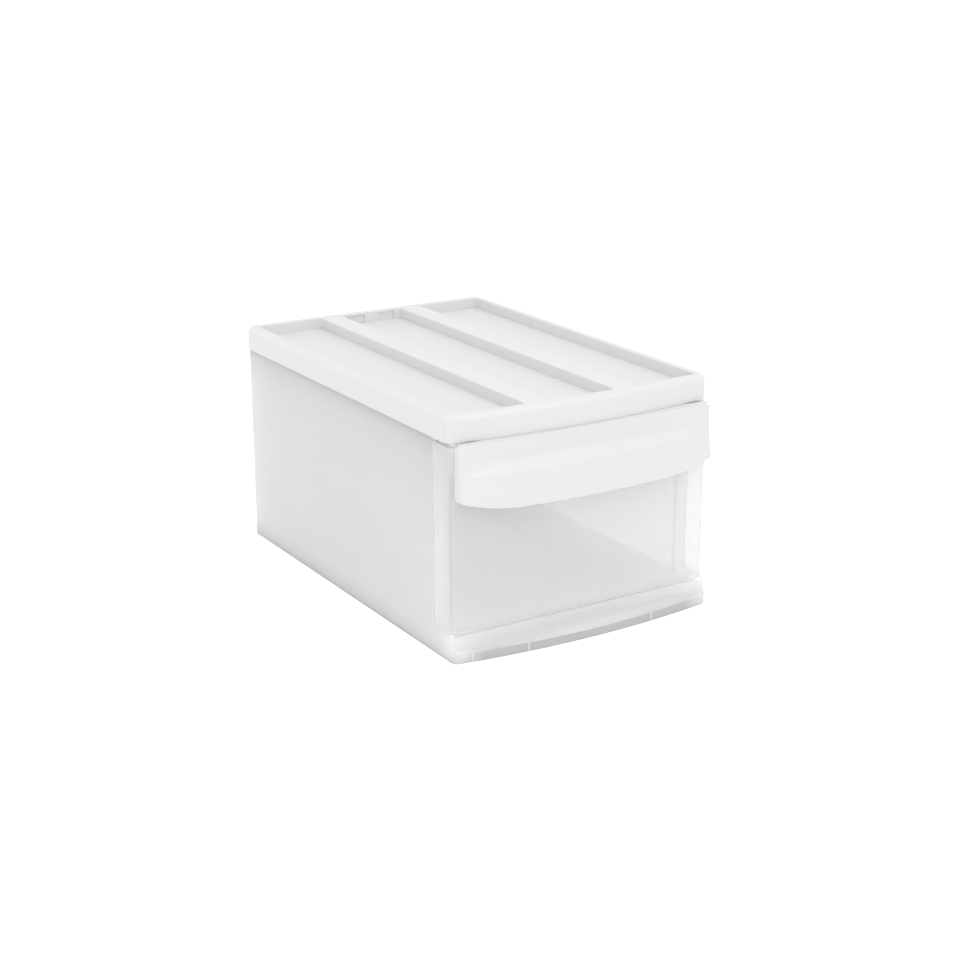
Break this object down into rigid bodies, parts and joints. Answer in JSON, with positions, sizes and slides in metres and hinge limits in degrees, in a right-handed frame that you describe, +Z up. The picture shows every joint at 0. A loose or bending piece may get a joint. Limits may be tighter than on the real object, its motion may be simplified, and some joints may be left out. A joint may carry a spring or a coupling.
{
  "type": "stackable drawer box",
  "caption": "Stackable storage box with frosted walls, a white cover with recessed bays, and a clear drawer that slides out by a bowed white handle.",
  "frame": {"origin": "on the ground under the middle of the whole box, handle included", "axes": "+Z up, the drawer opens towards -Y, +X to the right as seen from the front"},
  "size_m": [0.255, 0.395, 0.203],
  "materials": {
    "frosted_plastic": "frosted, lets soft light through",
    "white_plastic": "satin white",
    "clear_plastic": "clear and smooth",
    "handle_plastic": "satin white"
  },
  "bodies": {
    "case": {"casing": "frosted_plastic", "top_cover": "white_plastic"},
    "drawer": {"drawer_tray": "clear_plastic", "drawer_handle": "handle_plastic"}
  },
  "joints": [
    {"name": "drawer_slide", "type": "slide", "parent": "case", "child": "drawer", "axis": [0, -1, 0], "range_m": [0, 0.27]}
  ]
}
